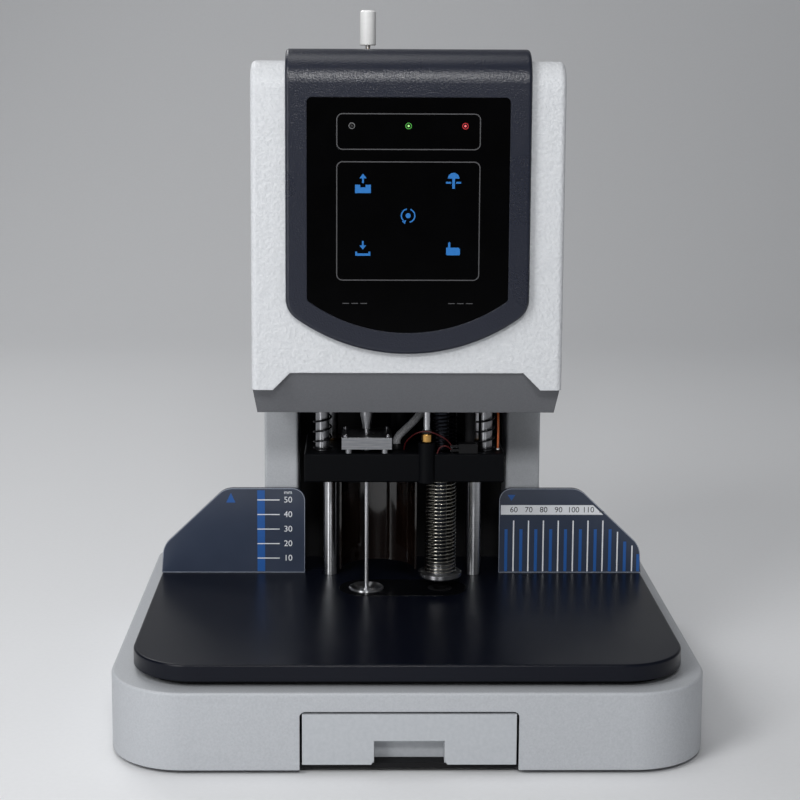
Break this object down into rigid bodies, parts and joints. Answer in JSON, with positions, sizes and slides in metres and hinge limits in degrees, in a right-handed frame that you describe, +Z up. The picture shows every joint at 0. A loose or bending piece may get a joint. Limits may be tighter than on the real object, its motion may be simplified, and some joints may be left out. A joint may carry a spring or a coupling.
{
  "type": "document riveting machine",
  "caption": "Desk machine that drills a stack of paper and closes a plastic rivet tube through it, with a touch panel on the head and a scrap drawer in the base",
  "frame": {"origin": "Middle of the footprint, on the surface that the rubber feet stand on", "axes": "+X to the operator's right, +Y away from the operator, +Z up"},
  "size_m": [0.348, 0.3, 0.4341],
  "materials": {
    "base_shell": "light grey textured paint",
    "base_plate": "zinc plated sheet",
    "rubber_feet": "black rubber",
    "table_riser": "black paint",
    "table_plate": "black semi-gloss plate",
    "table_insert": "black oxide",
    "drill_pad": "dark nylon",
    "lower_rivet_die": "polished chrome",
    "die_heater": "brass band",
    "lower_crosshead": "ground steel",
    "side_frames": "zinc plated steel",
    "guide_rods": "hard chromed and ground",
    "head_plate": "ground steel",
    "upper_plate": "ground steel",
    "left_column_cover": "light grey textured paint",
    "right_column_cover": "light grey textured paint",
    "back_panel": "matt black paint",
    "rear_cover": "light grey textured paint",
    "head_cover": "light grey leather-grain paint",
    "head_skirt": "mid grey textured paint",
    "panel_bezel": "charcoal grained plastic",
    "touch_panel": "gloss black glass",
    "indicator_lights": "clear lens",
    "control_board": "green board",
    "lift_motor": "black case",
    "drill_motor": "plated case",
    "ram_motor": "black case",
    "fixed_bearings": "sintered bronze",
    "left_guard_plate": "printed acrylic",
    "right_guard_plate": "printed acrylic",
    "guard_brackets": "zinc plated",
    "cover_screws": "zinc plated",
    "power_supply": "sheet case",
    "power_inlet": "black moulding",
    "power_rocker": "black moulding",
    "limit_sensors": "black moulding",
    "beam": "black anodised",
    "beam_bushes": "sintered bronze",
    "ram_block": "milled aluminium",
    "boss_nut": "turned brass",
    "position_rod": "bright rod",
    "spring_posts": "ground rod",
    "post_springs": "black spring steel",
    "lift_nut": "turned brass",
    "spindle_bridge": "black anodised",
    "spindle_bearings": "bearing steel",
    "spindle": "ground steel",
    "hollow_drill": "tool steel",
    "drive_shaft": "ground steel",
    "stripper_foot": "turned steel",
    "stripper_spring": "bright spring steel",
    "needle_shield": "smoked polycarbonate",
    "thermostat": "black moulding",
    "rivet_ram": "grey steel",
    "ram_crosshead": "milled aluminium",
    "ram_screw": "rolled thread",
    "lift_screw": "rolled thread",
    "guide_needle": "polished rod",
    "needle_knob": "white moulding",
    "scrap_drawer": "light grey moulding"
  },
  "bodies": {
    "frame": {"base_shell": "base_shell", "base_plate": "base_plate", "rubber_feet": "rubber_feet", "table_riser": "table_riser", "table_plate": "table_plate", "table_insert": "table_insert", "drill_pad": "drill_pad", "lower_rivet_die": "lower_rivet_die", "die_heater": "die_heater", "lower_crosshead": "lower_crosshead", "side_frames": "side_frames", "guide_rods": "guide_rods", "head_plate": "head_plate", "upper_plate": "upper_plate", "left_column_cover": "left_column_cover", "right_column_cover": "right_column_cover", "back_panel": "back_panel", "rear_cover": "rear_cover", "head_cover": "head_cover", "head_skirt": "head_skirt", "panel_bezel": "panel_bezel", "touch_panel": "touch_panel", "indicator_lights": "indicator_lights", "control_board": "control_board", "lift_motor": "lift_motor", "drill_motor": "drill_motor", "ram_motor": "ram_motor", "fixed_bearings": "fixed_bearings", "left_guard_plate": "left_guard_plate", "right_guard_plate": "right_guard_plate", "guard_brackets": "guard_brackets", "cover_screws": "cover_screws", "power_supply": "power_supply", "power_inlet": "power_inlet", "limit_sensors": "limit_sensors"},
    "beam": {"beam": "beam", "beam_bushes": "beam_bushes", "ram_block": "ram_block", "boss_nut": "boss_nut", "position_rod": "position_rod", "spring_posts": "spring_posts", "post_springs": "post_springs", "lift_nut": "lift_nut", "spindle_bridge": "spindle_bridge", "spindle_bearings": "spindle_bearings", "stripper_spring": "stripper_spring", "needle_shield": "needle_shield", "thermostat": "thermostat"},
    "spindle": {"spindle": "spindle", "hollow_drill": "hollow_drill"},
    "drive_shaft": {"drive_shaft": "drive_shaft"},
    "foot": {"stripper_foot": "stripper_foot"},
    "ram": {"rivet_ram": "rivet_ram", "ram_crosshead": "ram_crosshead"},
    "ram_screw": {"ram_screw": "ram_screw"},
    "lift_screw": {"lift_screw": "lift_screw"},
    "needle": {"guide_needle": "guide_needle", "needle_knob": "needle_knob"},
    "drawer": {"scrap_drawer": "scrap_drawer"},
    "rocker": {"power_rocker": "power_rocker"}
  },
  "joints": [
    {"name": "beam_lift", "type": "slide", "parent": "frame", "child": "beam", "axis": [0, 0, 1], "range_m": [-0.008, 0.045], "deforming": ["post_springs"]},
    {"name": "lift_screw_turn", "type": "hinge", "parent": "frame", "child": "lift_screw", "pos_m": [0, 0.037, 0.24], "axis": [0, 0, 1], "range_deg": [-1622, 290]},
    {"name": "drive_shaft_turn", "type": "hinge", "parent": "frame", "child": "drive_shaft", "pos_m": [0.024, 0.003, 0.24], "axis": [0, 0, 1], "continuous": true},
    {"name": "spindle_turn", "type": "hinge", "parent": "beam", "child": "spindle", "pos_m": [0.024, 0.003, 0.17], "axis": [0, 0, 1], "continuous": true},
    {"name": "foot_slide", "type": "slide", "parent": "beam", "child": "foot", "axis": [0, 0, 1], "range_m": [0, 0.045], "stiffness_N_per_m": 300, "springref_m": -0.02, "deforming": ["stripper_spring"]},
    {"name": "ram_slide", "type": "slide", "parent": "frame", "child": "ram", "axis": [0, 0, 1], "range_m": [-0.097, 0]},
    {"name": "ram_screw_turn", "type": "hinge", "parent": "frame", "child": "ram_screw", "pos_m": [-0.05, 0.024, 0.3], "axis": [0, 0, 1], "range_deg": [0, 4366]},
    {"name": "needle_lift", "type": "slide", "parent": "frame", "child": "needle", "axis": [0, 0, 1], "range_m": [0, 0.07]},
    {"name": "drawer_slide", "type": "slide", "parent": "frame", "child": "drawer", "axis": [0, -1, 0], "range_m": [0, 0.12]},
    {"name": "rocker_tilt", "type": "hinge", "parent": "frame", "child": "rocker", "pos_m": [0.131, 0.145, 0.025], "axis": [1, 0, 0], "range_deg": [0, 12]}
  ],
  "couplings": [
    {"joint": "lift_screw_turn", "follows": "beam_lift", "rad_per_m": -628.32},
    {"joint": "ram_screw_turn", "follows": "ram_slide", "rad_per_m": -785.4},
    {"joint": "spindle_turn", "follows": "drive_shaft_turn", "ratio": 1}
  ]
}
